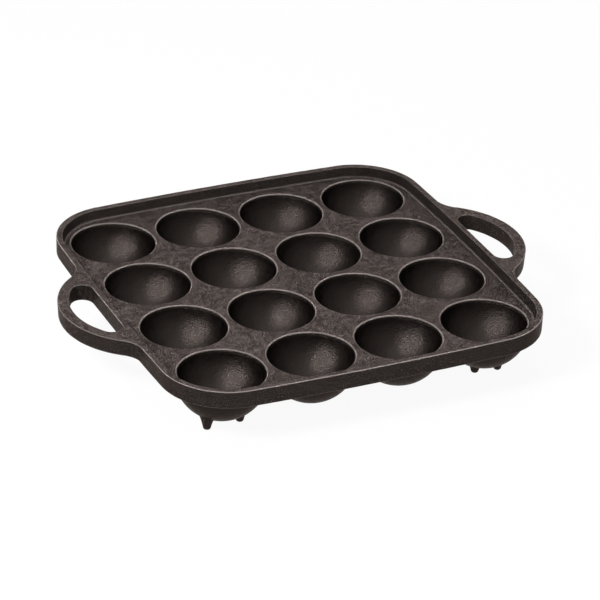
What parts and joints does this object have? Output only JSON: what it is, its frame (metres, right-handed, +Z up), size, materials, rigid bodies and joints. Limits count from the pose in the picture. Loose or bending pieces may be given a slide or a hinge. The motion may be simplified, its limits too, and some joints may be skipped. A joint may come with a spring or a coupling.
{
  "type": "takoyaki pan",
  "caption": "Cast iron takoyaki pan: a square deck of round cups with a low wall all round, a loop handle at each side and short pegs below.",
  "frame": {"origin": "on the ground under the middle of the pan, at the level of the pegs' tips", "axes": "+Z up, out of the cups; +X along the line through both handles; +Y away from the user"},
  "size_m": [0.2338, 0.191, 0.0302],
  "materials": {
    "cast_iron": "matt black sand-cast iron"
  },
  "bodies": {
    "root": {"rim": "cast_iron", "cup_1_1": "cast_iron", "cup_1_2": "cast_iron", "cup_1_3": "cast_iron", "cup_1_4": "cast_iron", "cup_2_1": "cast_iron", "cup_2_2": "cast_iron", "cup_2_3": "cast_iron", "cup_2_4": "cast_iron", "cup_3_1": "cast_iron", "cup_3_2": "cast_iron", "cup_3_3": "cast_iron", "cup_3_4": "cast_iron", "cup_4_1": "cast_iron", "cup_4_2": "cast_iron", "cup_4_3": "cast_iron", "cup_4_4": "cast_iron", "handle_left": "cast_iron", "handle_right": "cast_iron", "foot_front_left_outer": "cast_iron", "foot_front_left_inner": "cast_iron", "foot_front_right_outer": "cast_iron", "foot_front_right_inner": "cast_iron", "foot_back_left_outer": "cast_iron", "foot_back_left_inner": "cast_iron", "foot_back_right_outer": "cast_iron", "foot_back_right_inner": "cast_iron"}
  },
  "joints": []
}
